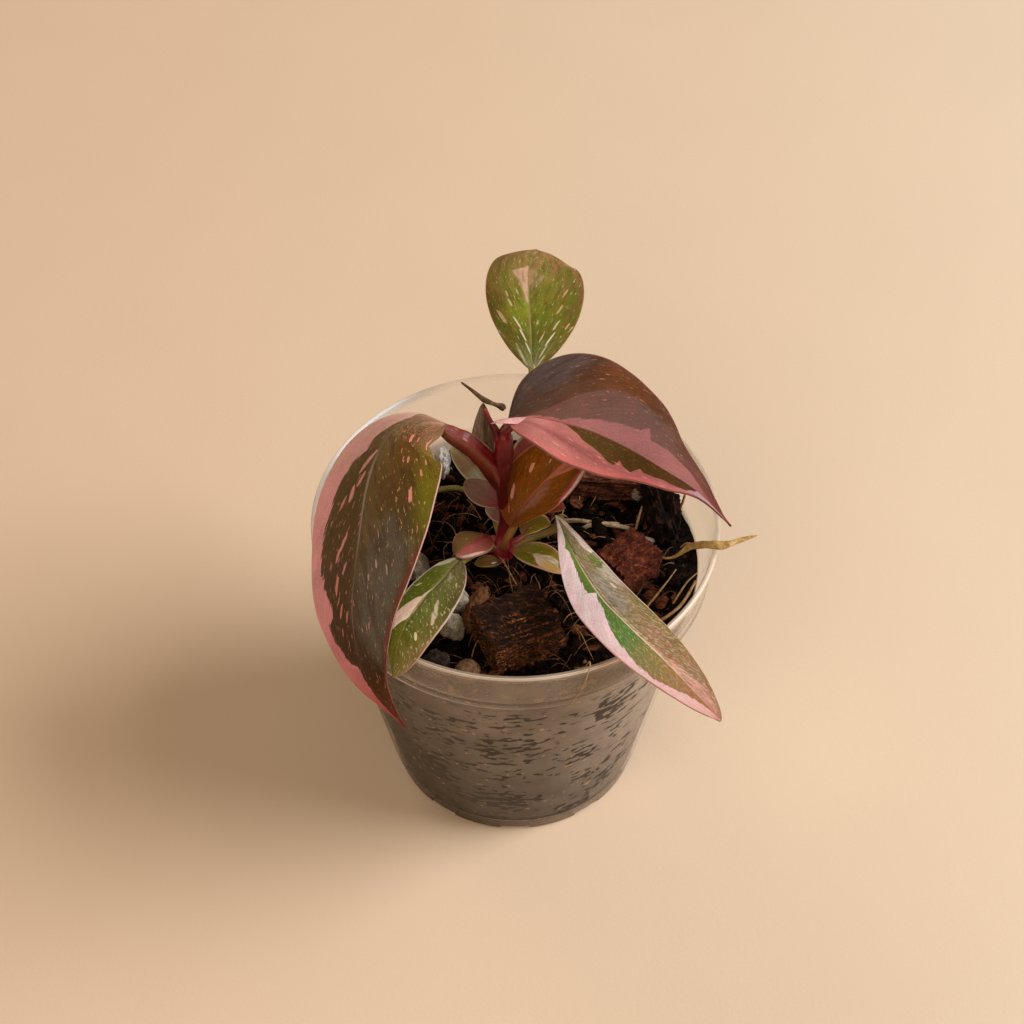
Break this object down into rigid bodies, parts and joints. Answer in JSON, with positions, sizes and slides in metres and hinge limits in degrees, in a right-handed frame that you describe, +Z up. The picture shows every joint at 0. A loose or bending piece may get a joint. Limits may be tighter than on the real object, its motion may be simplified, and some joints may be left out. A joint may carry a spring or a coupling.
{
  "type": "potted philodendron",
  "caption": "Young climbing houseplant with pink and olive marbled leaves on a crimson stem, rooted in bark mix in a clear tapered nursery pot.",
  "frame": {"origin": "on the pot's axis at the underside of its floor", "axes": "+Z up along the pot's axis, -Y to the front of the plant, +X to the right seen from the front"},
  "size_m": [0.0976, 0.1099, 0.1079],
  "materials": {
    "clear_plastic": "thin, slightly hazy clear polypropylene",
    "bark_mix": "damp bark and fibre",
    "crimson_stem": "smooth waxy stem",
    "leaf_left_large": "satin leaf, olive brown with pink sectors",
    "leaf_right_large": "satin leaf, half pink and half brown",
    "leaf_back": "satin leaf, green with white streaks",
    "leaf_front_right": "satin leaf, green, grey and pale pink",
    "leaf_front_left": "satin leaf, green with cream patches",
    "leaf_centre": "satin leaf, orange brown",
    "leaf_upright_pink": "satin leaf, pale pink with a white margin",
    "leaf_small_left": "satin leaf, olive brown with a pink fold",
    "leaf_small_right": "satin leaf, green with a cream patch",
    "leaf_folded_green": "satin leaf, green with a pale margin",
    "leaf_red_tip": "satin leaf, red brown",
    "leaf_low_olive": "satin leaf, dark olive",
    "leaf_mauve": "matt leaf underside, mauve grey",
    "leaf_pale_back": "matt leaf, pale green",
    "leaf_under_left": "satin leaf, olive",
    "dry_sheath": "dry and papery",
    "aerial_root": "dry tan root skin",
    "pale_root": "matt root skin",
    "coco_fibre": "dry fibre",
    "dry_twig": "dry twig bark",
    "coco_husk": "fibrous husk",
    "charcoal": "ridged and charred",
    "bark": "flaky bark",
    "clay": "porous expanded clay",
    "pumice": "porous stone"
  },
  "bodies": {
    "root": {"pot": "clear_plastic", "potting_mix": "bark_mix", "stem": "crimson_stem", "leaf_left_large": "leaf_left_large", "leaf_right_large": "leaf_right_large", "leaf_back": "leaf_back", "leaf_front_right": "leaf_front_right", "leaf_front_left": "leaf_front_left", "leaf_centre": "leaf_centre", "leaf_upright_pink": "leaf_upright_pink", "leaf_small_left": "leaf_small_left", "leaf_small_right": "leaf_small_right", "leaf_folded_green": "leaf_folded_green", "leaf_red_tip": "leaf_red_tip", "leaf_low_olive": "leaf_low_olive", "leaf_mauve_upper": "leaf_mauve", "leaf_mauve_lower": "leaf_mauve", "leaf_pale_back": "leaf_pale_back", "leaf_under_left": "leaf_under_left", "dry_sheath": "dry_sheath", "aerial_root": "aerial_root", "root_pale": "pale_root", "root_branch": "pale_root", "fibre_over_rim": "coco_fibre", "fibre_right_wall": "coco_fibre", "dry_twig": "dry_twig", "husk_block_front": "coco_husk", "husk_chunk_right": "coco_husk", "husk_strip_back": "coco_husk", "charcoal_right": "charcoal", "bark_flake": "bark", "bark_front_left": "bark", "clay_ball": "clay", "pumice_1": "pumice", "pumice_2": "pumice", "pumice_3": "pumice", "pumice_4": "pumice", "pumice_5": "pumice", "pumice_6": "pumice"}
  },
  "joints": []
}
